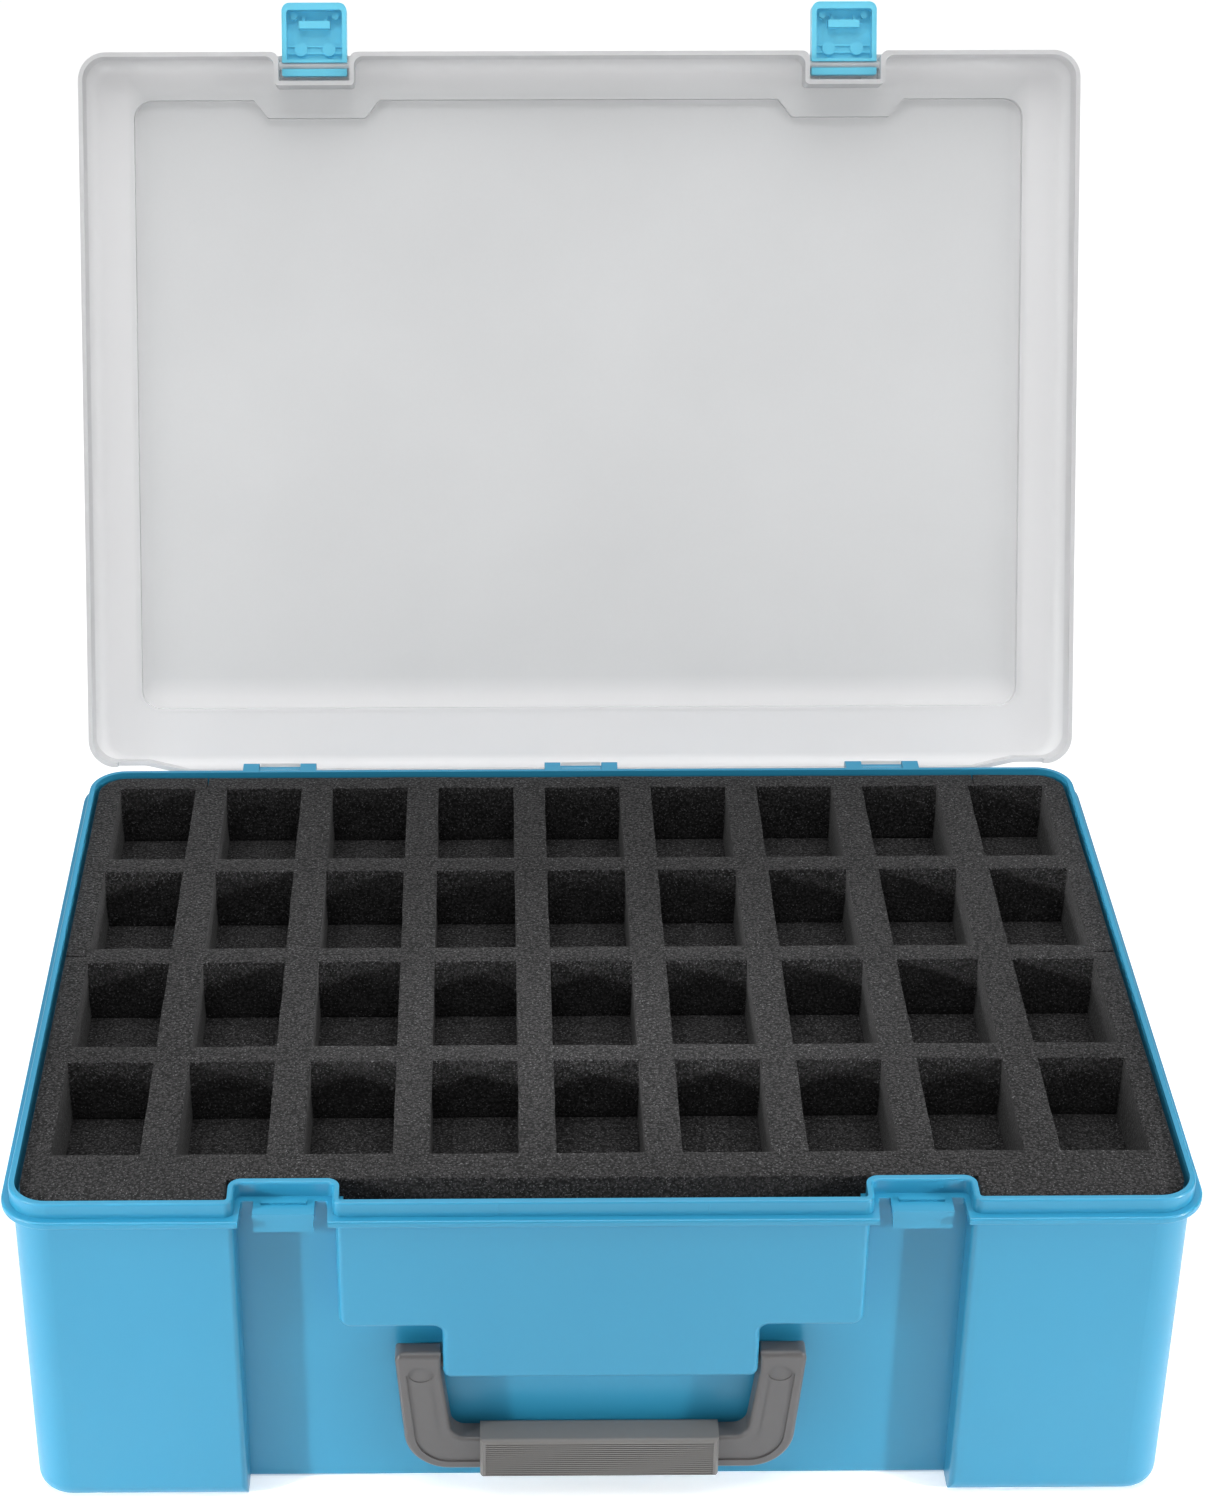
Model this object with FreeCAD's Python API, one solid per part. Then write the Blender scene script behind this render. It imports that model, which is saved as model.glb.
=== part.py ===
"""Miniature carry case: a moulded tub with a hinged frosted lid, two over-centre latches,
a folding handle and four lift-out foam trays, each cut into 36 compartments.

Millimetres. X runs to the right, Y to the back, Z up. The origin is the middle of the
underside. The lid is drawn shut, then turned to its open rest position, and so are the latches.
"""
import FreeCAD, Part
import math
import os
from FreeCAD import Vector

# ---- Driving dimensions ------------------------------------------------------------------
# Tub
WALL_X = 186.3              # outer face of the side walls, from the middle
WALL_Y = 132.3              # outer face of the front and back walls
WALL = 2.0                  # moulded wall thickness
CORNER_R = 12.0             # upright outer corners of the tub
FLOOR_TOP = 3.0             # inside floor above the ground
BOTTOM_R = 6.0              # rounding under the walls
FOOT_MARGIN = 14.0          # width of the outer ring the case stands on
GROOVE_WIDTH = 8.0          # width of the groove moulded inside that ring
GROOVE_DEPTH = 1.0
FLANGE_X = 190.0
FLANGE_Y = 136.0
FLANGE_TOP = 119.0
FLANGE_T = 2.6
LIP_TOP = 124.5
LIP_OUT = 1.1               # the lip's outer face stands this far outside the wall
LIP_IN = -0.9               # and its inner face this far inside it

# Front recess, with a T-shaped panel left standing in it
RECESS_X = 116.1            # inner edges of the corner pillars
RECESS_Y = 121.5            # face of the recess, in front of the middle
PANEL_X = 84.0              # half width of the T's bar
PANEL_Z = 73.0              # underside of the T's bar
STEM_X = 51.0               # half width of the T's stem
STEM_Z = 51.7               # underside of the stem
PANEL_R = 4.0
EDGE_R = 2.0                # rounding of the front edges

# Latch pockets, catches and latches
LATCH_X = 100.4             # middle of each latch
POCKET_HALF = 16.6          # half width of the pocket at the wall
SLOT_HALF = 13.6            # half width of the cut-out in the flange
CATCH_HALF = 9.7
CATCH_FRONT = 132.0
CATCH_LOW = 112.0
LATCH_PIN_Y = -130.8
LATCH_PIN_Z = 125.7
LATCH_PIN_R = 1.5
LATCH_HALF = 12.3
LATCH_WALL = 1.8
LATCH_UP = 3.9              # from the pin to the latch's hinge end
LATCH_DOWN = 23.5           # from the pin to the latch's free end
LATCH_OUT = 5.5             # from the pin to the latch's outer face
LATCH_IN = 1.9              # from the pin to the rim of the latch's hollow
RUN_CLEAR = 0.05            # radial clearance on every pin

# Lid
LID_CLEAR = 0.4             # between the lip and the lid's skirt
SKIRT = 1.7
LID_SIDE = LIP_OUT + LID_CLEAR + SKIRT      # the lid's outer face stands this far outside the wall
LID_LOW = 119.3
LID_TOP = 137.0
LID_CORNER_R = 10.5
LID_EDGE_R = 6.5            # soft upper edge of the lid
POCKET_TOP = 131.6          # ceiling of the latch pockets in the lid
PLATEAU_X = 172.0           # raised panel of the lid
PLATEAU_FRONT = -121.0
PLATEAU_BACK = 116.0
PLATEAU_RISE = 4.0
LID_OPEN = 114.8            # opening angle at rest, in degrees

# Lid hinge
HINGE_X = (-116.0, 0.0, 116.0)
HINGE_Y = 137.4
HINGE_Z = 121.5
HINGE_R = 1.6
LUG_HALF = 14.0
WINDOW_HALF = 7.9
CLIP_HALF = 7.5
CLIP_R = 3.0
HOOD_X = 152.0              # half length of the hood that covers the hinge
HOOD_RUN = 16.0             # length of the hood's sloping ends
HOOD_OUT = 3.5              # how far the hood stands out behind the lid
HOOD_LOW = 125.2            # lower edge of the hood
HOOD_CUT_X = 178.5          # half length of the back wall that is cut up to that edge

# Handle
HANDLE_PIN_Y = -128.0
HANDLE_PIN_Z = 56.2
HANDLE_PIN_R = 2.2
HANDLE_FRONT = -131.8
HANDLE_BACK = -124.3
HANDLE_END_R = 2.2          # rounding of the arms' upper ends, seen from the side
ARM_OUT = 66.8              # outer edge of an arm at its top
ARM_IN = 51.5               # inner edge of an arm at its top
ARM_TAPER = 4.0             # the arms lean in by this much towards the grip
HANDLE_TOP = 61.3
BAR_LOW = 12.4
BAR_HIGH = 25.6
GRIP_X = 39.2
GRIP_SKIN = 1.25            # the grip stands this far out of the bar all round
GRIP_FRONT_SKIN = 2.6
GRIP_GROOVES = 16

# Foam trays
TRAYS = 4
COLUMNS = 9
ROWS = 4
FOAM_TOP = 123.0
FOAM_GAP = 0.4              # clearance to the tub and between trays
FOAM_BASE = 6.2
FOAM_X = 183.9
FOAM_BACK = 129.9
FOAM_FRONT = -129.9
FOAM_STEP = -118.9          # front edge between the two front ears
EAR_X = 118.9               # inner edge of each ear
FOAM_CORNER = 10.0
COLUMN_PITCH = 40.4
CELL_X = 28.5
ROW_PITCH = 59.2
CELL_Y = 50.2
ROWS_MIDDLE = 7.9           # the rows are centred this far behind the middle

OUT_DIR = "parts"
X_AXIS = Vector(1, 0, 0)


# ---- Small helpers -----------------------------------------------------------------------
def flat(z):
    """Places outline points in the horizontal plane at height z."""
    return lambda u, v: Vector(u, v, z)


def upright(y):
    """Places outline points in the upright plane that faces the front, at depth y."""
    return lambda u, v: Vector(u, y, v)


def sideways(x):
    """Places outline points in the upright plane that faces the side, at x."""
    return lambda u, v: Vector(x, u, v)


def outline(points, place):
    """A closed wire through (u, v, radius) points, with each corner rounded by its radius."""
    spots = [Vector(u, v, 0) for u, v, _ in points]
    joins = []
    for i, (_, _, radius) in enumerate(points):
        here = spots[i]
        back = (spots[i - 1] - here).normalize()
        ahead = (spots[(i + 1) % len(spots)] - here).normalize()
        half = 0.5 * back.getAngle(ahead)
        if radius <= 0 or abs(half - math.pi / 2) < 1e-6:
            joins.append((here, None, here))
            continue
        run = radius / math.tan(half)
        middle = (back + ahead).normalize() * (radius / math.sin(half) - radius)
        joins.append((here + back * run, here + middle, here + ahead * run))
    edges = []
    for i, (start, middle, end) in enumerate(joins):
        before = joins[i - 1][2]
        if before.distanceToPoint(start) > 1e-6:
            edges.append(Part.makeLine(place(before.x, before.y), place(start.x, start.y)))
        if middle is not None:
            three = [place(p.x, p.y) for p in (start, middle, end)]
            edges.append(Part.Arc(*three).toShape())
    return Part.Wire(edges)


def prism(points, place, along):
    return Part.Face(outline(points, place)).extrude(along)


def box(x0, x1, y0, y1, z0, z1):
    return Part.makeBox(x1 - x0, y1 - y0, z1 - z0, Vector(x0, y0, z0))


def rod(x0, x1, y, z, radius):
    """A round bar along X."""
    return Part.makeCylinder(radius, x1 - x0, Vector(x0, y, z), X_AXIS)


def block(half_x, half_y, radius, z0, z1):
    """An upright block with rounded corners, centred on the origin."""
    corners = [(-half_x, -half_y, radius), (half_x, -half_y, radius),
               (half_x, half_y, radius), (-half_x, half_y, radius)]
    return prism(corners, flat(z0), Vector(0, 0, z1 - z0))


def oval(x, y, z, half_x, half_z):
    """An oval plug that faces the front, with its back face at depth y."""
    ring = Part.Ellipse(Vector(half_x, 0, 0), Vector(0, half_z, 0), Vector(0, 0, 0)).toShape()
    plug = Part.Face(Part.Wire([ring])).extrude(Vector(0, 0, 4))
    plug.rotate(Vector(0, 0, 0), X_AXIS, 90)
    plug.translate(Vector(x, y, z))
    return plug


def edges_where(shape, test):
    return [e for e in shape.Edges if test(e.BoundBox)]


def turned(shape, y, z, degrees):
    """A copy turned about the X-directed line through (y, z)."""
    copy = shape.copy()
    copy.rotate(Vector(0, y, z), X_AXIS, degrees)
    return copy


# ---- Tub ---------------------------------------------------------------------------------
def rim_plan(grow, corner, radius):
    """The rim's plan, notched at the two latch pockets, moved outwards by grow."""
    a, b, q = WALL_X + grow, WALL_Y + grow, RECESS_Y + grow
    near, far = LATCH_X - POCKET_HALF + grow, LATCH_X + POCKET_HALF - grow
    inner = max(3.2 - grow, 0.5)
    right = [(near, -b, corner), (near, -q, inner), (far, -q, inner), (far, -b, corner)]
    left = [(-u, v, r) for u, v, r in reversed(right)]
    return [(-a, -b, radius)] + left + right + [(a, -b, radius), (a, b, radius), (-a, b, radius)]


def recess_tool(grow, edge_radius):
    """The front recess as a solid, grown by grow, with its front edges flared."""
    top = LIP_TOP + 20
    low = -20
    half = [(STEM_X - grow, STEM_Z + grow, max(PANEL_R - 1 - grow, 0.5)),
            (STEM_X - grow, PANEL_Z + grow, PANEL_R - 1 + grow),
            (PANEL_X - grow, PANEL_Z + grow, PANEL_R - grow),
            (PANEL_X - grow, top, 0),
            (RECESS_X + grow, top, 0),
            (RECESS_X + grow, low, 0)]
    points = half + [(-u, v, r) for u, v, r in reversed(half)]
    depth = WALL_Y - RECESS_Y
    hollow = prism(points, upright(-WALL_Y - 1), Vector(0, depth + grow + 1, 0))
    if edge_radius <= 0:
        return hollow
    slab = box(-150, 150, -WALL_Y, -WALL_Y + depth + grow + 8, low, top)
    plate = slab.cut(hollow)

    def on_front(bounds):
        level = abs(bounds.YMin + WALL_Y) < 0.01 and abs(bounds.YMax + WALL_Y) < 0.01
        inside = bounds.XMin > -149 and bounds.XMax < 149
        ends = bounds.ZMax - bounds.ZMin < 0.01 and (abs(bounds.ZMin - top) < 0.01
                                                     or abs(bounds.ZMin - low) < 0.01)
        return level and inside and not ends

    plate = plate.makeFillet(edge_radius, edges_where(plate, on_front))
    return slab.cut(plate)


def tub_outside():
    body = block(WALL_X, WALL_Y, CORNER_R, 0, FLANGE_TOP)
    body = body.makeFillet(BOTTOM_R, edges_where(body, lambda b: b.ZMax < 0.01))
    body = body.cut(recess_tool(0, EDGE_R))
    front = edges_where(body, lambda b: b.ZMax < 0.01 and abs(b.YMin + RECESS_Y) < 0.01
                        and b.YMax - b.YMin < 0.01)
    return body.makeFillet(EDGE_R, front)


def tub_inside():
    body = block(WALL_X - WALL, WALL_Y - WALL, CORNER_R - WALL, FLOOR_TOP, FLANGE_TOP)
    return body.cut(recess_tool(WALL, 0))


def catch(side):
    """The catch plate under a latch, with its hanging apron and a raised bar."""
    middle = side * LATCH_X
    front, back = -CATCH_FRONT, -RECESS_Y - LIP_OUT
    plate = box(middle - CATCH_HALF, middle + CATCH_HALF, front, back,
                FLANGE_TOP - FLANGE_T, FLANGE_TOP)
    apron = box(middle - CATCH_HALF + 0.3, middle + CATCH_HALF - 0.3, front + 0.3, front + 2.2,
                CATCH_LOW, FLANGE_TOP - 1)
    bar = box(middle - 7.2, middle + 7.2, back - 4.4, back - 2.7, FLANGE_TOP - 1, FLANGE_TOP + 0.8)
    return plate.fuse([apron, bar])


def hinge_lug(middle):
    """Two cheeks and a round bar behind the rim, on a shelf that the open lid's hood meets."""
    cheek = [(-5.6, 3.0, 0), (0.6, 3.0, 0.8), (2.7, 1.6, 0.8), (3.1, -0.6, 0.6),
             (2.6, -2.2, 0), (2.6, -5.4, 0), (-5.6, -5.4, 0)]
    points = [(HINGE_Y + u, HINGE_Z + v, r) for u, v, r in cheek]
    width = LUG_HALF - WINDOW_HALF
    pieces = [prism(points, sideways(middle - LUG_HALF), Vector(width, 0, 0)),
              prism(points, sideways(middle + WINDOW_HALF), Vector(width, 0, 0)),
              rod(middle - LUG_HALF + 1, middle + LUG_HALF - 1, HINGE_Y, HINGE_Z, HINGE_R)]
    pieces.append(box(middle - LUG_HALF, middle + LUG_HALF, WALL_Y - 1, HINGE_Y + 3.0,
                      FLANGE_TOP - FLANGE_T - 0.6, HINGE_Z - 3.15))
    return pieces


def make_tub():
    inset = FOOT_MARGIN + GROOVE_WIDTH
    groove = block(WALL_X - FOOT_MARGIN, RECESS_Y - FOOT_MARGIN, 10, -1, GROOVE_DEPTH)
    groove = groove.cut(block(WALL_X - inset, RECESS_Y - inset, 3, -2, GROOVE_DEPTH + 1))
    flange = block(FLANGE_X, FLANGE_Y, CORNER_R + FLANGE_X - WALL_X,
                   FLANGE_TOP - FLANGE_T, FLANGE_TOP)
    flange = flange.makeFillet(0.8, edges_where(flange, lambda b: b.ZMax - b.ZMin < 0.01))
    for side in (-1, 1):
        middle = side * LATCH_X
        back = -RECESS_Y - LIP_OUT - 2.5
        mouth = [(middle - SLOT_HALF - 0.5, -FLANGE_Y - 1, 0),
                 (middle + SLOT_HALF + 0.5, -FLANGE_Y - 1, 0),
                 (middle + SLOT_HALF, back, 0.8), (middle - SLOT_HALF, back, 0.8)]
        flange = flange.cut(prism(mouth, flat(FLANGE_TOP - 5), Vector(0, 0, 8)))
    lip = prism(rim_plan(LIP_OUT, 3.1, CORNER_R + LIP_OUT), flat(FLANGE_TOP - 1),
                Vector(0, 0, LIP_TOP - FLANGE_TOP + 1))
    lip = lip.makeFillet(0.8, edges_where(lip, lambda b: b.ZMin > LIP_TOP - 0.01))
    pieces = [flange, lip, catch(-1), catch(1)]
    for middle in HINGE_X:
        pieces += hinge_lug(middle)
    tub = tub_outside().fuse(pieces).removeSplitter()
    mouth = prism(rim_plan(LIP_IN, 1.1, CORNER_R + LIP_IN), flat(FLANGE_TOP - FLANGE_T),
                  Vector(0, 0, 20))
    tub = tub.cut([tub_inside(), mouth, groove])
    for middle in HINGE_X:
        window = rod(middle - WINDOW_HALF, middle + WINDOW_HALF, HINGE_Y, HINGE_Z, CLIP_R + 0.4)
        bar = rod(middle - WINDOW_HALF - 1, middle + WINDOW_HALF + 1, HINGE_Y, HINGE_Z, HINGE_R)
        tub = tub.cut(window.cut(bar))
    holes = rod(-STEM_X - 1, STEM_X + 1, HANDLE_PIN_Y, HANDLE_PIN_Z, HANDLE_PIN_R + RUN_CLEAR)
    return tub.cut(holes)


# ---- Lid, drawn shut ---------------------------------------------------------------------
def lid_plan(grow, corner, pockets=True):
    """The lid's plan: the rim's plan with a hood at the back that covers the hinge."""
    radius = LID_CORNER_R - LID_SIDE + grow
    points = rim_plan(grow, corner, radius)
    if not pockets:
        points = [points[0]] + points[-3:]
    edge = WALL_Y + grow
    far = HOOD_X + HOOD_RUN
    hood = [(far, edge, 8), (HOOD_X, edge + HOOD_OUT, 8),
            (-HOOD_X, edge + HOOD_OUT, 8), (-far, edge, 8)]
    return points[:-1] + hood + points[-1:]


def lid_bulk(grow, corner, low, shelf, high, edge_radius):
    """The lid as a solid with a softened upper edge; its latch pockets end at shelf."""
    side = WALL_X + grow
    front = -WALL_Y - grow
    back = WALL_Y + grow + HOOD_OUT
    radius = LID_CORNER_R - LID_SIDE + grow
    corners = [(-side, front, radius), (side, front, radius),
               (side, back, radius + HOOD_OUT), (-side, back, radius + HOOD_OUT)]
    top = prism(corners, flat(low), Vector(0, 0, high - low))
    top = top.makeFillet(edge_radius, edges_where(top, lambda b: b.ZMin > high - 0.01))
    lower = prism(lid_plan(grow, corner), flat(low), Vector(0, 0, shelf - low))
    upper = prism(lid_plan(grow, corner, pockets=False), flat(shelf), Vector(0, 0, high - shelf))
    return lower.fuse(upper).common(top)


def plateau(inset, z0, z1):
    """The raised panel's block, with a notch in front of each latch, moved inwards by inset."""
    side = PLATEAU_X - inset
    front = PLATEAU_FRONT + inset
    back = PLATEAU_BACK - inset
    notch = 6.8
    right = [(LATCH_X - 24.0, front, 1.5), (LATCH_X - 18.6, front + notch, 1.5),
             (LATCH_X + 18.6, front + notch, 1.5), (LATCH_X + 24.0, front, 1.5)]
    left = [(-u, v, r) for u, v, r in reversed(right)]
    radius = 9 - inset
    points = [(-side, front, radius)] + left + right
    points += [(side, front, radius), (side, back, radius), (-side, back, radius)]
    return prism(points, flat(z0), Vector(0, 0, z1 - z0))


def lid_clip(middle):
    """A C-shaped clip, open towards the tub, that snaps over the hinge bar."""
    ring = rod(middle - CLIP_HALF, middle + CLIP_HALF, HINGE_Y, HINGE_Z, CLIP_R)
    web = box(middle - CLIP_HALF, middle + CLIP_HALF, HINGE_Y - 1.2, HINGE_Y + 1.4,
              HINGE_Z, HINGE_Z + 6.5)
    mouth = [(0, 0, 0), (-5, 1.6, 0), (-5, -5, 0), (-1.0, -5, 0)]
    points = [(HINGE_Y + u, HINGE_Z + v, r) for u, v, r in mouth]
    gap = prism(points, sideways(middle - CLIP_HALF - 1), Vector(2 * CLIP_HALF + 2, 0, 0))
    bore = rod(middle - CLIP_HALF - 1, middle + CLIP_HALF + 1, HINGE_Y, HINGE_Z,
               HINGE_R + RUN_CLEAR)
    return ring.fuse(web).cut([gap, bore])


def make_lid():
    inner = LIP_OUT + LID_CLEAR
    ceiling = LID_TOP - SKIRT
    shell = lid_bulk(LID_SIDE, 3.0, LID_LOW, POCKET_TOP, LID_TOP, LID_EDGE_R)
    shell = shell.fuse(plateau(0, LID_TOP - 1, LID_TOP + PLATEAU_RISE))
    hollow = lid_bulk(inner, 3.5, LID_LOW - 1, POCKET_TOP + SKIRT, ceiling, LID_EDGE_R - SKIRT)
    panel_hollow = plateau(SKIRT, ceiling - 2, ceiling + PLATEAU_RISE)
    behind = box(-HOOD_CUT_X, HOOD_CUT_X, WALL_Y + inner - 0.2, WALL_Y + 20,
                 LID_LOW - 1, HOOD_LOW)
    shell = shell.cut([hollow, panel_hollow, behind])
    pieces = [lid_clip(middle) for middle in HINGE_X]
    for side in (-1, 1):
        middle = side * LATCH_X
        half = POCKET_HALF - inner
        pieces.append(rod(middle - half, middle + half, LATCH_PIN_Y, LATCH_PIN_Z, LATCH_PIN_R))
        for stop in (-8, 8):
            pieces.append(box(middle + stop - 1, middle + stop + 1,
                              LATCH_PIN_Y + LATCH_UP + 0.2, -RECESS_Y - LID_SIDE + 0.5,
                              LATCH_PIN_Z + 2.5, LATCH_PIN_Z + 4.5))
    return shell.fuse(pieces).removeSplitter()


# ---- Latch, drawn shut -------------------------------------------------------------------
def make_latch(side):
    """A shallow cup with a clip at its hinge end and a hook bar that goes under the catch."""
    middle = side * LATCH_X
    y, z = LATCH_PIN_Y, LATCH_PIN_Z
    face = [(middle - LATCH_HALF, z - LATCH_DOWN, 3), (middle + LATCH_HALF, z - LATCH_DOWN, 3),
            (middle + LATCH_HALF, z + LATCH_UP, 0.8), (middle - LATCH_HALF, z + LATCH_UP, 0.8)]
    body = prism(face, upright(y - LATCH_OUT), Vector(0, LATCH_OUT + LATCH_IN, 0))
    front = edges_where(body, lambda b: b.YMax < y - LATCH_OUT + 0.01)
    body = body.makeFillet(0.75, front)
    side_view = [(y - LATCH_OUT - 1, z - LATCH_DOWN - 1, 0), (y + LATCH_IN + 1, z - LATCH_DOWN - 1, 0),
                 (y + LATCH_IN + 1, z + LATCH_UP, 1.5), (y - LATCH_OUT, z + LATCH_UP, 4.0),
                 (y - LATCH_OUT, z - 2, 0), (y - LATCH_OUT - 1, z - 2, 0)]
    body = body.common(prism(side_view, sideways(middle - 20), Vector(40, 0, 0)))
    floor = y - LATCH_OUT + 1.6
    inner = LATCH_HALF - LATCH_WALL
    cup_low = z - LATCH_DOWN + 2.6
    cup_top = z - 2.3
    cup = [(middle - inner, cup_low, 1.2), (middle + inner, cup_low, 1.2),
           (middle + inner, cup_top, 0.4), (middle - inner, cup_top, 0.4)]
    body = body.cut(prism(cup, upright(floor), Vector(0, 20, 0)))
    mouth = box(middle - 13, middle + 13, y, y + 10, z - 1.2, z + 1.2)
    body = body.cut([rod(middle - 13, middle + 13, y, z, LATCH_PIN_R + RUN_CLEAR), mouth])
    hook_z = z - 15.5
    parts = [box(middle - 5.9, middle + 5.9, floor - 0.5, y + 0.5, hook_z - 1.4, hook_z + 1.4)]
    for x in (-4.2, 4.2):
        parts.append(box(middle + x - 0.6, middle + x + 0.6, floor - 0.5, floor + 1.6,
                         hook_z - 3.6, hook_z - 1.0))
        parts.append(Part.makeCylinder(2.5, 1.5, Vector(middle + x * 1.27, floor - 0.5, z - 6.6),
                                       Vector(0, 1, 0)))
    for x in (-7.9, 7.9):
        parts.append(Part.makeCylinder(1.3, 2.9, Vector(middle + x, floor - 0.5, z - LATCH_DOWN + 4.6),
                                       Vector(0, 1, 0)))
    for rail in (-5.3, -7.9):
        parts.append(box(middle - inner - 0.3, middle + inner + 0.3, floor - 0.5, floor + 0.7,
                         z + rail - 0.4, z + rail + 0.4))
    return body.fuse(parts).removeSplitter()


# ---- Handle ------------------------------------------------------------------------------
def bail_outline(inset):
    """The U of the handle seen from the front, moved inwards by inset."""
    half = [(ARM_OUT - ARM_TAPER - inset, BAR_LOW + inset, 15 - inset),
            (ARM_OUT - inset, HANDLE_TOP - inset, max(3.0 - inset, 0.6)),
            (ARM_IN + inset, HANDLE_TOP - inset, 0.6),
            (ARM_IN + inset, STEM_Z + 1, 0),
            (ARM_IN - 0.8 * ARM_TAPER + inset, BAR_HIGH - inset, 5 + inset)]
    return half + [(-u, v, r) for u, v, r in reversed(half)]


def make_bail():
    """The handle's moulded U, with a trunnion on the inner side of each arm."""
    depth = HANDLE_BACK - HANDLE_FRONT
    bail = prism(bail_outline(0), upright(HANDLE_FRONT), Vector(0, depth, 0))
    front = edges_where(bail, lambda b: b.YMax < HANDLE_FRONT + 0.01)
    bail = bail.makeFillet(1.4, front)
    side_view = [(HANDLE_FRONT, 0, 0), (HANDLE_BACK, 0, 0),
                 (HANDLE_BACK, HANDLE_TOP, HANDLE_END_R), (HANDLE_FRONT, HANDLE_TOP, HANDLE_END_R)]
    bail = bail.common(prism(side_view, sideways(-80), Vector(160, 0, 0)))
    relief = prism(bail_outline(3.2), upright(HANDLE_FRONT - 1), Vector(0, 1.6, 0))
    mark_z = HANDLE_TOP - 8.6
    keep = box(-80, 80, HANDLE_FRONT - 2, HANDLE_BACK, BAR_LOW, mark_z)
    bail = bail.cut(relief.common(keep))
    pins = []
    for side in (-1, 1):
        x = side * (0.5 * (ARM_OUT + ARM_IN) - 0.9)
        bail = bail.cut(oval(x, HANDLE_FRONT + 0.85, mark_z, 4.1, 3.4))
        ends = sorted((side * (STEM_X - WALL - 0.4), side * (ARM_IN + 3)))
        pins.append(rod(ends[0], ends[1], HANDLE_PIN_Y, HANDLE_PIN_Z, HANDLE_PIN_R))
    return bail.fuse(pins).removeSplitter()


def make_grip():
    """A ribbed sleeve pressed over the handle's bar."""
    y0, y1 = HANDLE_FRONT - GRIP_FRONT_SKIN, HANDLE_BACK + GRIP_SKIN
    z0, z1 = BAR_LOW - GRIP_SKIN, BAR_HIGH + GRIP_SKIN
    section = [(y0, z0, 0.8), (y1, z0, 2.2), (y1, z1, 2.2), (y0, z1, 1.6)]
    grip = prism(section, sideways(-GRIP_X), Vector(2 * GRIP_X, 0, 0))
    plan = [(GRIP_X - 1.0, y0 - 0.1, 0.5), (GRIP_X, y0 + 1.6, 0.8), (GRIP_X, y1, 1.2)]
    plan += [(-u, v, r) for u, v, r in reversed(plan)]
    grip = grip.common(prism(plan, flat(0), Vector(0, 0, z1 + 5)))
    pitch = (z1 - z0 - 2.9) / (GRIP_GROOVES - 1)
    grooves = []
    for i in range(GRIP_GROOVES):
        z = z0 + 1.15 + i * pitch
        grooves.append(box(-GRIP_X + 1.8, GRIP_X - 1.8, y0 - 1, y0 + 0.4, z - 0.2, z + 0.2))
    return grip.cut(grooves)


# ---- Foam --------------------------------------------------------------------------------
def column_edges():
    """Where each compartment starts and ends along X."""
    first = -0.5 * ((COLUMNS - 1) * COLUMN_PITCH + CELL_X)
    return [(first + i * COLUMN_PITCH, first + i * COLUMN_PITCH + CELL_X) for i in range(COLUMNS)]


def row_edges():
    """Where each compartment starts and ends along Y, from front to back."""
    first = ROWS_MIDDLE - 0.5 * ((ROWS - 1) * ROW_PITCH + CELL_Y)
    return [(first + i * ROW_PITCH, first + i * ROW_PITCH + CELL_Y) for i in range(ROWS)]


def foam_outline():
    """The tray's plan: rounded at the corners, stepped back between its two front ears."""
    half = [(EAR_X, FOAM_STEP, 0), (EAR_X, FOAM_FRONT, 0), (FOAM_X, FOAM_FRONT, FOAM_CORNER),
            (FOAM_X, FOAM_BACK, FOAM_CORNER)]
    return half + [(-u, v, r) for u, v, r in reversed(half)]


def make_foam_base(low):
    """The plain sheet under a tray's grid."""
    return prism(foam_outline(), flat(low), Vector(0, 0, FOAM_BASE))


def make_foam_grid(low, high):
    """The cut sheet, as long strips and the short bars between them, so each cell is open."""
    sheet = prism(foam_outline(), flat(low), Vector(0, 0, high - low))
    rows, columns = row_edges(), column_edges()
    strips_y = [FOAM_FRONT - 1] + [y for row in rows for y in row] + [FOAM_BACK + 1]
    strips_x = [-FOAM_X - 1] + [x for column in columns for x in column] + [FOAM_X + 1]
    solids = []
    front = box(-FOAM_X - 1, FOAM_X + 1, FOAM_STEP, rows[0][0], low, high)
    solids.append(sheet.common(front))
    for side in (-1, 1):
        ear = sorted((side * EAR_X, side * (FOAM_X + 1)))
        solids.append(sheet.common(box(ear[0], ear[1], FOAM_FRONT - 1, FOAM_STEP, low, high)))
    for i in range(2, len(strips_y) - 1, 2):
        strip = box(-FOAM_X - 1, FOAM_X + 1, strips_y[i], strips_y[i + 1], low, high)
        solids.append(sheet.common(strip))
    for y0, y1 in rows:
        for j in range(0, len(strips_x), 2):
            bar = box(strips_x[j], strips_x[j + 1], y0, y1, low, high)
            solids.append(sheet.common(bar))
    return Part.makeCompound([s for shape in solids for s in shape.Solids])


# ---- Everything in place -----------------------------------------------------------------
def save(name, shape):
    solids = shape.Solids
    whole = solids[0] if len(solids) == 1 else Part.makeCompound(solids)
    whole.exportStep(os.path.join(OUT_DIR, name + ".step"))
    print(f"{name}: {len(solids)} solid(s), {whole.Volume / 1000:.1f} cm3, valid {whole.isValid()}")


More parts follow.
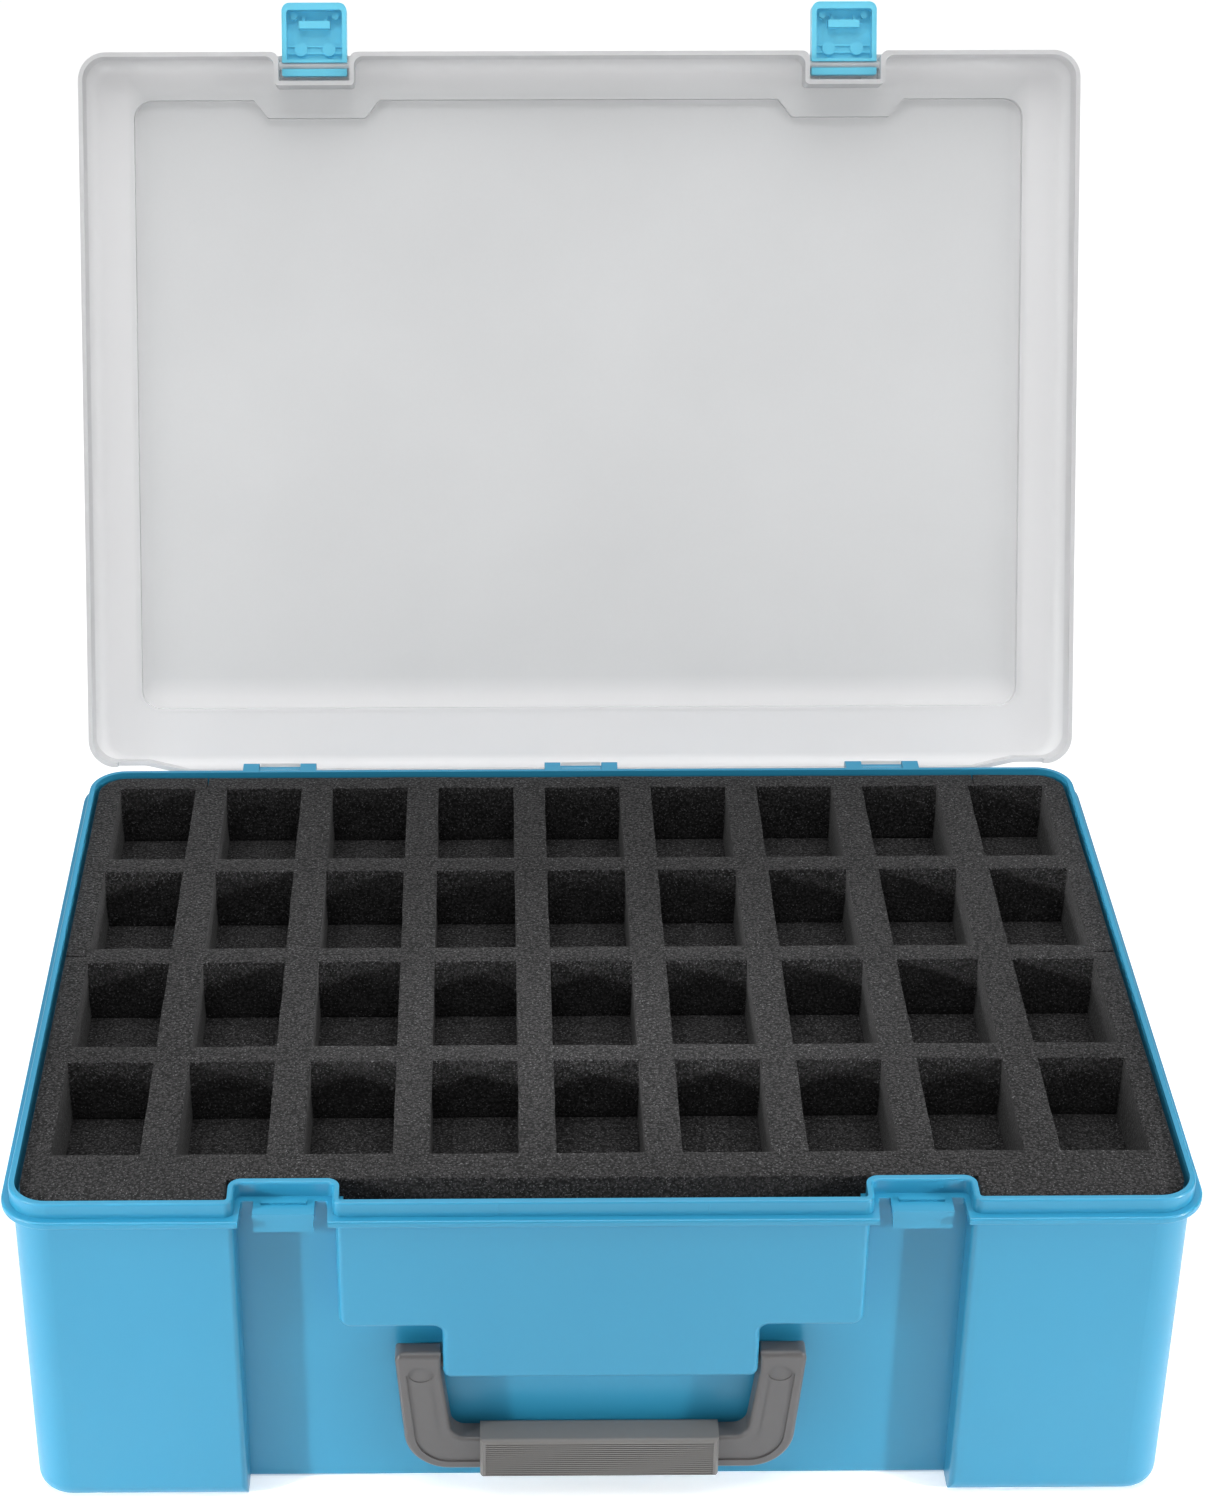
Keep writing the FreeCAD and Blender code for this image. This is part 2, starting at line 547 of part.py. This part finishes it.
def main():
    os.makedirs(OUT_DIR, exist_ok=True)
    save("case_body", make_tub())
    save("lid_shell", turned(make_lid(), HINGE_Y, HINGE_Z, -LID_OPEN))
    for name, side in (("latch_left", -1), ("latch_right", 1)):
        flipped = turned(make_latch(side), LATCH_PIN_Y, LATCH_PIN_Z, -90)
        save(name, turned(flipped, HINGE_Y, HINGE_Z, -LID_OPEN))
    bail = make_bail()
    save("handle_bail", bail)
    save("handle_grip", make_grip().cut(bail))
    low = FLOOR_TOP + FOAM_GAP
    pitch = (FOAM_TOP + FOAM_GAP - low) / TRAYS
    for tray in range(TRAYS):
        z = low + tray * pitch
        save(f"tray_{tray + 1}_base", make_foam_base(z))
        save(f"tray_{tray + 1}_grid", make_foam_grid(z + FOAM_BASE, z + pitch - FOAM_GAP))


main()
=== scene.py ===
"""Looks of the miniature carry case: moulded plastics, cut foam trays, floor, lights and camera."""

import bpy
import bmesh
import math
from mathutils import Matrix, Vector, noise


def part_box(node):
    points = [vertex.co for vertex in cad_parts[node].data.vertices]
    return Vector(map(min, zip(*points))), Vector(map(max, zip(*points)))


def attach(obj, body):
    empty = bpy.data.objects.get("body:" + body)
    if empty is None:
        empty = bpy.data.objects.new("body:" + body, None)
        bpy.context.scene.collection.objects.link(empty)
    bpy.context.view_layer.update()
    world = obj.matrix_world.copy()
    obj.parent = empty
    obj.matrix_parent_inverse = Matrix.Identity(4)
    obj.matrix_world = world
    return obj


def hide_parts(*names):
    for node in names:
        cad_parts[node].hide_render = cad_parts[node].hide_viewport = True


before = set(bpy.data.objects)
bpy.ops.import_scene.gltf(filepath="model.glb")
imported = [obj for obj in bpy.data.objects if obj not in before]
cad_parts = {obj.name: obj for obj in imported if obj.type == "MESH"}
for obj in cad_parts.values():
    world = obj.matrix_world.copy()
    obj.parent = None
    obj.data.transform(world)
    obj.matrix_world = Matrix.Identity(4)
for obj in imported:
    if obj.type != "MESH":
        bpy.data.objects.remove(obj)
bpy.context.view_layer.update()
MM = 0.001


# ---- Node helpers ------------------------------------------------------------------------
class Nodes:
    """A material's node tree, with a Principled shader and short ways to add nodes."""

    def __init__(self, name, **sockets):
        self.material = bpy.data.materials.new(name)
        self.material.use_nodes = True
        self.tree = self.material.node_tree
        self.shader = self.tree.nodes["Principled BSDF"]
        for key, value in sockets.items():
            self.shader.inputs[key.replace("_", " ")].default_value = value
        self.place = self.add("ShaderNodeTexCoord").outputs["Object"]

    def add(self, kind, **values):
        node = self.tree.nodes.new(kind)
        for key, value in values.items():
            setattr(node, key, value)
        return node

    def link(self, source, target):
        self.tree.links.new(source, target)

    def noise(self, size, detail=3.0, roughness=0.55, stretch=(1, 1, 1)):
        """Noise whose blobs are about size metres across, from 0 to 1."""
        place = self.place
        if stretch != (1, 1, 1):
            mapping = self.add("ShaderNodeMapping")
            mapping.inputs["Scale"].default_value = stretch
            self.link(place, mapping.inputs["Vector"])
            place = mapping.outputs["Vector"]
        node = self.add("ShaderNodeTexNoise")
        node.inputs["Scale"].default_value = 1 / size
        node.inputs["Detail"].default_value = detail
        node.inputs["Roughness"].default_value = roughness
        self.link(place, node.inputs["Vector"])
        return node.outputs["Fac"]

    def cells(self, size):
        """Distance from the middle of the nearest small cell; cells are about size metres wide."""
        node = self.add("ShaderNodeTexVoronoi")
        node.inputs["Scale"].default_value = 1 / size
        self.link(self.place, node.inputs["Vector"])
        return node.outputs["Distance"]

    def spread(self, value, low, high, start=0.0, end=1.0):
        """Maps start..end to low..high, held at both ends."""
        node = self.add("ShaderNodeMapRange")
        node.inputs["From Min"].default_value = start
        node.inputs["From Max"].default_value = end
        node.inputs["To Min"].default_value = low
        node.inputs["To Max"].default_value = high
        self.link(value, node.inputs["Value"])
        return node.outputs["Result"]

    def axes(self):
        """The three object coordinates."""
        node = self.add("ShaderNodeSeparateXYZ")
        self.link(self.place, node.inputs["Vector"])
        return node.outputs

    def math(self, operation, a, b):
        node = self.add("ShaderNodeMath", operation=operation)
        for socket, value in zip(node.inputs, (a, b)):
            if isinstance(value, (int, float)):
                socket.default_value = value
            else:
                self.link(value, socket)
        return node.outputs["Value"]

    def mix(self, factor, a, b):
        """A colour between a and b; each is a colour or a socket."""
        node = self.add("ShaderNodeMix", data_type="RGBA")
        for socket, value in ((node.inputs["Factor"], factor), (node.inputs["A"], a),
                              (node.inputs["B"], b)):
            if isinstance(value, bpy.types.NodeSocket):
                self.link(value, socket)
            else:
                socket.default_value = value
        return node.outputs["Result"]

    def bump(self, height, depth, strength=1.0, below=None):
        """Normals for a height from 0 to 1 that stands for depth metres."""
        node = self.add("ShaderNodeBump")
        node.inputs["Strength"].default_value = strength
        node.inputs["Distance"].default_value = depth
        self.link(height, node.inputs["Height"])
        if below is not None:
            self.link(below, node.inputs["Normal"])
        return node.outputs["Normal"]

    def set(self, name, value):
        self.link(value, self.shader.inputs[name])


def rgb(red, green, blue):
    """A linear colour from an sRGB one on a 0 to 255 scale."""
    def linear(value):
        value /= 255
        return value / 12.92 if value <= 0.04045 else ((value + 0.055) / 1.055) ** 2.4
    return (linear(red), linear(green), linear(blue), 1.0)


# ---- Moulded plastics --------------------------------------------------------------------
# How wide the blobs of each effect are, and how deep the raised ones go.
FLOW_MARK = 60 * MM
MOTTLE = 3 * MM
POLISH_PATCH = 18 * MM
SKIN_GRAIN = 1.1 * MM
SKIN_RELIEF = 0.006 * MM
GRIP_RELIEF = 0.012 * MM
SINK_MARK = 35 * MM
SINK_DEPTH = 0.12 * MM


def moulded_plastic(name, colour, dark, roughness, relief=SKIN_RELIEF, **sockets):
    """Injection-moulded plastic: faint flow marks, fine mould texture and uneven gloss."""
    m = Nodes(name, **sockets)
    flow = m.noise(FLOW_MARK, detail=4.0, stretch=(1, 1, 0.45))
    fine = m.noise(MOTTLE, detail=4.0, roughness=0.6)
    tone = m.math("ADD", m.math("MULTIPLY", flow, 0.8), m.math("MULTIPLY", fine, 0.2))
    m.set("Base Color", m.mix(m.spread(tone, 0.0, 1.0, 0.35, 0.65), dark, colour))
    polish = m.noise(POLISH_PATCH, detail=4.0, roughness=0.6)
    m.set("Roughness", m.spread(polish, roughness - 0.03, roughness + 0.04, 0.3, 0.7))
    skin = m.noise(SKIN_GRAIN, detail=2.0, roughness=0.5)
    sinks = m.noise(SINK_MARK, detail=1.0)
    low = m.bump(sinks, SINK_DEPTH, strength=0.5)
    m.set("Normal", m.bump(skin, relief, strength=0.3, below=low))
    return m.material


LID_CLOUD = 70 * MM
LID_SPECK = 1.2 * MM
LID_GRAIN = 0.4 * MM
LID_GRAIN_DEPTH = 0.01 * MM
LID_WAVE = 45 * MM
LID_WAVE_DEPTH = 0.25 * MM
# The open lid's middle panel turns into a paler frame between these pairs: painted light, standing
# in for light on the lid's rounded shoulder.
PAINTED_LIGHT_SIDE = (166 * MM, 173 * MM)           # distance from the middle
PAINTED_LIGHT_FRONT = (350 * MM, 357 * MM)          # heights, at the latches
PAINTED_LIGHT_HINGE = (139 * MM, 146 * MM)          # heights, at the hinges


def frosted_plastic():
    """Milky polypropylene: light passes, but nothing shows sharply through it. Its frame is painted
    paler, as painted light on the rounded shoulder.
    """
    m = Nodes("frosted_lid", IOR=1.49, Transmission_Weight=0.55, Specular_IOR_Level=0.45)
    cloud = m.noise(LID_CLOUD, detail=3.0)
    speck = m.noise(LID_SPECK, detail=4.0, roughness=0.7)
    tone = m.math("ADD", m.math("MULTIPLY", cloud, 0.7), m.math("MULTIPLY", speck, 0.3))
    body = m.mix(m.spread(tone, 0.0, 1.0, 0.35, 0.65), rgb(219, 220, 221), rgb(223, 224, 225))
    # Painted light: a paler frame round the middle panel stands in for light falling on the lid's
    # rounded shoulder.
    side, _, height = m.axes()
    side = m.spread(m.math("ABSOLUTE", side, 0.0), 0.0, 1.0, *PAINTED_LIGHT_SIDE)
    front = m.spread(height, 0.0, 1.0, *PAINTED_LIGHT_FRONT)
    hinge = m.spread(height, 1.0, 0.0, *PAINTED_LIGHT_HINGE)
    painted_light_band = m.math("MAXIMUM", side, m.math("MAXIMUM", front, hinge))
    m.set("Base Color", m.mix(painted_light_band, body, rgb(236, 236, 237)))
    m.set("Roughness", m.spread(cloud, 0.42, 0.52, 0.3, 0.7))
    fine = m.noise(LID_GRAIN, detail=2.0)
    wave = m.noise(LID_WAVE, detail=1.5)
    low = m.bump(wave, LID_WAVE_DEPTH, strength=0.5)
    m.set("Normal", m.bump(fine, LID_GRAIN_DEPTH, strength=0.6, below=low))
    return m.material


CASE_BLUE = moulded_plastic("case_blue", rgb(45, 137, 172), rgb(42, 134, 170), 0.33,
                            Specular_IOR_Level=0.5)
LATCH_BLUE = moulded_plastic("latch_blue", rgb(126, 226, 252), rgb(120, 221, 250), 0.32,
                             Transmission_Weight=0.35, IOR=1.49,
                             Subsurface_Weight=0.08, Subsurface_Radius=(0.6, 0.9, 1.0),
                             Subsurface_Scale=0.002, Specular_IOR_Level=0.5)
HANDLE_GREY = moulded_plastic("handle_grey", rgb(89, 87, 87), rgb(83, 81, 81), 0.34,
                              Specular_IOR_Level=0.5)
GRIP_GREY = moulded_plastic("grip_grey", rgb(114, 112, 110), rgb(107, 105, 103), 0.44,
                            relief=GRIP_RELIEF, Specular_IOR_Level=0.4)
FROST = frosted_plastic()


def finish_node(node, material):
    """Gives a CAD node its material."""
    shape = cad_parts[node]
    shape.data.materials.clear()
    shape.data.materials.append(material)


finish_node("case_body", CASE_BLUE)
finish_node("lid_shell", FROST)
finish_node("latch_left", LATCH_BLUE)
finish_node("latch_right", LATCH_BLUE)
finish_node("handle_bail", HANDLE_GREY)
finish_node("handle_grip", GRIP_GREY)


# ---- Foam material -----------------------------------------------------------------------
PORE = 1.1 * MM
PORE_DEPTH = 0.35 * MM
STRUT = 0.9 * MM
# Painted highlights: pale specks about this wide stand in for struts glinting in the light.
PAINTED_GLINT = 0.6 * MM
DULL_PATCH = 22 * MM


def cut_foam():
    """Charcoal open-cell foam: sharp little pores, painted highlights for glinting struts and a
    soft nap.
    """
    m = Nodes("charcoal_foam", Sheen_Weight=0.08, Sheen_Roughness=0.6, Specular_IOR_Level=0.15)
    pores = m.cells(PORE)
    fine = m.noise(STRUT, detail=4.0, roughness=0.75)
    patch = m.noise(DULL_PATCH, detail=3.0)
    pit = m.spread(pores, 0.0, 1.0, 0.15, 0.75)
    tone = m.math("ADD", m.math("MULTIPLY", m.math("SUBTRACT", 1.0, pit), 0.55),
                  m.math("MULTIPLY", fine, 0.45))
    base = m.mix(m.spread(tone, 0.0, 1.0, 0.3, 0.75), rgb(4, 4, 4), rgb(49, 48, 49))
    base = m.mix(m.spread(patch, 0.0, 0.18, 0.4, 0.7), base, rgb(17, 17, 18))
    # Painted highlight: pale specks in the colour stand in for light glinting off the struts.
    painted_glint = m.noise(PAINTED_GLINT, detail=2.0)
    m.set("Base Color", m.mix(m.spread(painted_glint, 0.0, 0.75, 0.6, 0.7), base, rgb(114, 114, 116)))
    m.set("Roughness", m.spread(fine, 0.8, 1.0, 0.3, 0.7))
    height = m.math("ADD", m.math("MULTIPLY", pit, 0.6), m.math("MULTIPLY", fine, 0.4))
    m.set("Normal", m.bump(height, PORE_DEPTH, strength=0.9))
    return m.material


FOAM = cut_foam()


# ---- Foam trays --------------------------------------------------------------------------
COLUMNS, ROWS = 9, 4
COLUMN_PITCH = 40.4 * MM
CELL_X = 28.5 * MM
ROW_PITCH = 59.2 * MM
CELL_Y = 50.2 * MM
ROWS_MIDDLE = 7.9 * MM
EAR_X = 118.9 * MM          # a tray is cut back between its two front ears
EAR_DEPTH = 11.0 * MM
FOAM_CORNER = 10.0 * MM
SLIT = 0.6 * MM             # width of the short slits in a tray's border
SLIT_GAP_X = 1.0 * MM       # foam left between a slit and the compartments
SLIT_GAP_Y = 1.5 * MM
BACK_SLITS = (-143 * MM, 150 * MM)
SOFT_EDGE = 0.55 * MM
GRID_STEP = 3.4 * MM        # mesh steps along and down a cut grid and a plain base sheet
GRID_STEP_DOWN = 4.5 * MM
BASE_STEP = 6.0 * MM
BASE_STEP_DOWN = 3.1 * MM
BORDER_HOLD = 6.0 * MM      # walls wander less and less within this distance of the outline
WANDER, WANDER_SIZE = 0.22 * MM, 14 * MM
FRAY, FRAY_SIZE = 0.07 * MM, 3.5 * MM
TOP_SWELL, TOP_SWELL_SIZE = 0.25 * MM, 30 * MM
WALL_BOW = 0.35 * MM
WALL_REACH = 0.8 * MM       # a point this near a compartment's side belongs to its wall
FOAM_SEED = 1               # noise_vector draws from the clock unless it has a seed


def spans(count, pitch, size, middle=0.0):
    """Start and end of each compartment along one axis."""
    first = middle - 0.5 * ((count - 1) * pitch + size)
    return [(first + i * pitch, first + i * pitch + size) for i in range(count)]


COLUMN_EDGES = spans(COLUMNS, COLUMN_PITCH, CELL_X)
ROW_EDGES = spans(ROWS, ROW_PITCH, CELL_Y, ROWS_MIDDLE)


def nearest_side(value, edges):
    """+1 on the wall at a compartment's low side, -1 at its high side, 0 elsewhere."""
    for low, high in edges:
        if abs(value - low) < WALL_REACH:
            return 1
        if abs(value - high) < WALL_REACH:
            return -1
    return 0


def in_compartment(x, y):
    in_column = any(low < x < high for low, high in COLUMN_EDGES)
    in_row = any(low < y < high for low, high in ROW_EDGES)
    return in_column and in_row


def lines_through(stops, step):
    """Lattice lines through every stop, at most about step apart."""
    lines = []
    for low, high in zip(stops, stops[1:]):
        parts = max(1, round((high - low) / step))
        lines += [low + (high - low) * i / parts for i in range(parts)]
    return lines + [stops[-1]]


def add_object(name, mesh):
    """Turns a finished bmesh into an object of the scene."""
    shape = bpy.data.meshes.new(name)
    mesh.to_mesh(shape)
    mesh.free()
    piece = bpy.data.objects.new(name, shape)
    bpy.context.scene.collection.objects.link(piece)
    return piece


def lattice_solid(name, xs, ys, zs, filled):
    """A closed solid from the lattice boxes whose middle is filled."""
    mesh = bmesh.new()
    made = {}

    def corner(i, j, k):
        if (i, j, k) not in made:
            made[i, j, k] = mesh.verts.new((xs[i], ys[j], zs[k]))
        return made[i, j, k]

    def is_filled(i, j):
        if not (0 <= i < len(xs) - 1 and 0 <= j < len(ys) - 1):
            return False
        return filled(0.5 * (xs[i] + xs[i + 1]), 0.5 * (ys[j] + ys[j + 1]))

    top = len(zs) - 1
    for i in range(len(xs) - 1):
        for j in range(len(ys) - 1):
            if not is_filled(i, j):
                continue
            mesh.faces.new([corner(i, j, top), corner(i + 1, j, top),
                            corner(i + 1, j + 1, top), corner(i, j + 1, top)])
            mesh.faces.new([corner(i, j, 0), corner(i, j + 1, 0),
                            corner(i + 1, j + 1, 0), corner(i + 1, j, 0)])
            sides = (((i, j), (i + 1, j), (i, j - 1)), ((i + 1, j), (i + 1, j + 1), (i + 1, j)),
                     ((i + 1, j + 1), (i, j + 1), (i, j + 1)), ((i, j + 1), (i, j), (i - 1, j)))
            for start, end, beyond in sides:
                if is_filled(*beyond):
                    continue
                for k in range(top):
                    mesh.faces.new([corner(*start, k), corner(*end, k),
                                    corner(*end, k + 1), corner(*start, k + 1)])
    mesh.normal_update()
    return add_object(name, mesh)


def round_corners(piece, half_x, low_y, high_y, radius):
    """Draws the outer upright corners in to a radius."""
    for vertex in piece.data.vertices:
        x, y = vertex.co.x, vertex.co.y
        a = (abs(x) - (half_x - radius)) / radius
        if y > 0:
            b = (y - (high_y - radius)) / radius
        else:
            b = (low_y + radius - y) / radius
        if a <= 0 or b <= 0:
            continue
        across = a * math.sqrt(1 - b * b / 2)
        along = b * math.sqrt(1 - a * a / 2)
        vertex.co.x = math.copysign(half_x - radius + across * radius, x)
        vertex.co.y = high_y - radius + along * radius if y > 0 else low_y + radius - along * radius


def soften(piece, width):
    """Rounds the edges of a foam piece a little."""
    mesh = bmesh.new()
    mesh.from_mesh(piece.data)
    sharp = [e for e in mesh.edges if e.is_manifold and e.calc_face_angle(0) > math.radians(50)]
    bmesh.ops.bevel(mesh, geom=sharp, offset=width, segments=2, profile=0.6, affect="EDGES",
                    clamp_overlap=True)
    for face in mesh.faces:
        face.smooth = True
    mesh.to_mesh(piece.data)
    mesh.free()


def box_of_piece(piece):
    """The lowest and highest corner of a piece, in its own space."""
    corners = [Vector(c) for c in piece.bound_box]
    low = Vector(min(c[i] for c in corners) for i in range(3))
    high = Vector(max(c[i] for c in corners) for i in range(3))
    return low, high


def relax_foam(piece, low, high, cell_walls):
    """Cut foam is never exact: walls bow a little at half depth and edges wander."""
    box_low, box_high = box_of_piece(piece)
    for vertex in piece.data.vertices:
        co = vertex.co
        depth = (co.z - low) / (high - low)
        edge = min(co.x - box_low.x, box_high.x - co.x, co.y - box_low.y, box_high.y - co.y)
        inner = min(1.0, max(0.0, edge / BORDER_HOLD))
        wander = noise.noise_vector(co / WANDER_SIZE) * WANDER
        fray = noise.noise_vector(co / FRAY_SIZE) * FRAY
        shift = (wander + fray) * inner
        co.x += shift.x
        co.y += shift.y
        if depth > 0.97:
            co.z += (noise.noise(co / TOP_SWELL_SIZE) - 0.5) * TOP_SWELL
        if cell_walls and 0.03 < depth < 0.97:
            bow = math.sin(math.pi * depth) * WALL_BOW * inner
            co.x -= nearest_side(co.x, COLUMN_EDGES) * bow
            co.y -= nearest_side(co.y, ROW_EDGES) * bow


def foam_piece(node, body, with_cells):
    """A tray's cut grid or its plain base sheet, in the space of its CAD node."""
    low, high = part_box(node)
    wall_y = 0.5 * (ROW_EDGES[1][1] + ROW_EDGES[2][0])
    side_x = COLUMN_EDGES[-1][1]
    back_y = ROW_EDGES[-1][1]
    slits = []
    if with_cells:
        slits = [(low.x, -side_x - SLIT_GAP_X, wall_y - SLIT / 2, wall_y + SLIT / 2),
                 (side_x + SLIT_GAP_X, high.x, wall_y - SLIT / 2, wall_y + SLIT / 2)]
        slits += [(x - SLIT / 2, x + SLIT / 2, back_y + SLIT_GAP_Y, high.y) for x in BACK_SLITS]
    stops_x = {low.x, high.x, -EAR_X, EAR_X, low.x + FOAM_CORNER / 2, high.x - FOAM_CORNER / 2}
    stops_y = {low.y, high.y, low.y + EAR_DEPTH, high.y - FOAM_CORNER / 2, low.y + FOAM_CORNER / 2}
    if with_cells:
        stops_x |= {x for edge in COLUMN_EDGES for x in edge}
        stops_y |= {y for edge in ROW_EDGES for y in edge}
        for x0, x1, y0, y1 in slits:
            stops_x |= {x0, x1}
            stops_y |= {y0, y1}
    step = GRID_STEP if with_cells else BASE_STEP
    xs = lines_through(sorted(stops_x), step)
    ys = lines_through(sorted(stops_y), step)
    zs = lines_through([low.z, high.z], GRID_STEP_DOWN if with_cells else BASE_STEP_DOWN)

    def filled(x, y):
        if abs(x) < EAR_X and y < low.y + EAR_DEPTH:
            return False
        if with_cells and in_compartment(x, y):
            return False
        return not any(x0 < x < x1 and y0 < y < y1 for x0, x1, y0, y1 in slits)

    piece = lattice_solid(node + "_foam", xs, ys, zs, filled)
    round_corners(piece, high.x, low.y, high.y, FOAM_CORNER)
    relax_foam(piece, low.z, high.z, with_cells)
    soften(piece, SOFT_EDGE)
    piece.data.materials.append(FOAM)
    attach(piece, body)
    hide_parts(node)


noise.seed_set(FOAM_SEED)
for tray in range(1, 5):
    foam_piece(f"tray_{tray}_grid", f"tray_{tray}", True)
    foam_piece(f"tray_{tray}_base", f"tray_{tray}", False)


# ---- Witness lines on the case -----------------------------------------------------------
WITNESS_X = 33 * MM
WITNESS_HALF = 0.2 * MM                     # half a line's width
WITNESS_DEEP = (-133.5 * MM, -133.3 * MM)   # its front, and its back just inside the lip
WITNESS_TALL = (119.3 * MM, 123.9 * MM)     # its foot and its top
WITNESS_BEVEL = 0.06 * MM


def witness_line(name, x):
    """The fine raised line that a mould insert leaves on the front of the sealing lip."""
    low = Vector((x - WITNESS_HALF, WITNESS_DEEP[0], WITNESS_TALL[0]))
    high = Vector((x + WITNESS_HALF, WITNESS_DEEP[1], WITNESS_TALL[1]))
    mesh = bmesh.new()
    bmesh.ops.create_cube(mesh, size=1.0)
    for vertex in mesh.verts:
        vertex.co = Vector(mid + part * size for mid, part, size
                           in zip((low + high) / 2, vertex.co, high - low))
    bmesh.ops.bevel(mesh, geom=mesh.edges[:], offset=WITNESS_BEVEL, segments=1, affect="EDGES")
    line = add_object(name, mesh)
    line.data.materials.append(CASE_BLUE)
    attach(line, "case")


witness_line("witness_line_left", -WITNESS_X)
witness_line("witness_line_right", WITNESS_X)


# ---- Floor, lights and camera ------------------------------------------------------------
FLOOR_SIZE = 12.0
FLOOR_PATCH = 0.4
FLOOR_GAP = 0.2 * MM        # keeps the floor clear of the case's flat underside


def make_floor():
    bpy.ops.mesh.primitive_plane_add(size=FLOOR_SIZE, location=(0, 0, -FLOOR_GAP))
    floor = bpy.context.object
    floor.name = "floor"
    m = Nodes("pale_floor", Specular_IOR_Level=0.2)
    soft = m.noise(FLOOR_PATCH, detail=2.0)
    m.set("Base Color", m.mix(soft, rgb(246, 246, 247), rgb(250, 250, 250)))
    m.shader.inputs["Roughness"].default_value = 0.85
    m.shader.inputs["Emission Color"].default_value = (1.0, 1.0, 1.0, 1.0)
    m.shader.inputs["Emission Strength"].default_value = 0.36
    floor.data.materials.append(m.material)


def area_light(name, place, aim, size, power, spread=180):
    light = bpy.data.lights.new(name, "AREA")
    light.shape = "RECTANGLE"
    light.size, light.size_y = size
    light.energy = power
    light.spread = math.radians(spread)
    lamp = bpy.data.objects.new(name, light)
    lamp.location = place
    lamp.rotation_euler = (Vector(aim) - Vector(place)).to_track_quat("-Z", "Y").to_euler()
    bpy.context.scene.collection.objects.link(lamp)


def make_world():
    world = bpy.data.worlds.new("studio")
    world.use_nodes = True
    background = world.node_tree.nodes["Background"]
    background.inputs["Color"].default_value = (1.0, 1.0, 1.0, 1.0)
    background.inputs["Strength"].default_value = 0.14
    bpy.context.scene.world = world


def make_camera():
    """Looks down at the open case from in front, as a catalogue picture does."""
    camera = bpy.data.cameras.new("camera")
    camera.sensor_width = 36.0
    camera.sensor_fit = "AUTO"
    camera.lens = 76.2
    camera.shift_x = 0.0591
    camera.clip_start = 0.05
    camera.clip_end = 50
    holder = bpy.data.objects.new("camera", camera)
    pitch, yaw = math.radians(30.14), math.radians(0.49)
    ahead = Vector((math.sin(yaw) * math.cos(pitch), math.cos(yaw) * math.cos(pitch),
                    -math.sin(pitch)))
    holder.location = (-0.0345, -0.9188, 0.7437)
    holder.rotation_mode = "QUATERNION"
    holder.rotation_quaternion = ahead.to_track_quat("-Z", "Y")
    bpy.context.scene.collection.objects.link(holder)
    bpy.context.scene.camera = holder


make_floor()
make_world()
for side, name, soft_power, strip_power in ((-1, "left", 1.5, 0.2), (1, "right", 1.2, 0.18)):
    lamp_place = (1.3 * side, -0.72, 0.5)
    area_light(name, lamp_place, (0.1 * side, -0.13, 0.07), (0.5, 0.9), soft_power, spread=70)
    area_light(name + "_strip", lamp_place, (0.155 * side, -0.13, 0.07), (0.05, 0.6), strip_power,
               spread=8)
area_light("top", (0.0, -0.25, 2.1), (0, -0.1, 0.1), (2.2, 1.8), 43)
area_light("behind", (0.0, 1.5, 1.6), (0, 1.2, 0.0), (2.4, 1.6), 11)
make_camera()
bpy.context.scene.view_settings.view_transform = "Standard"
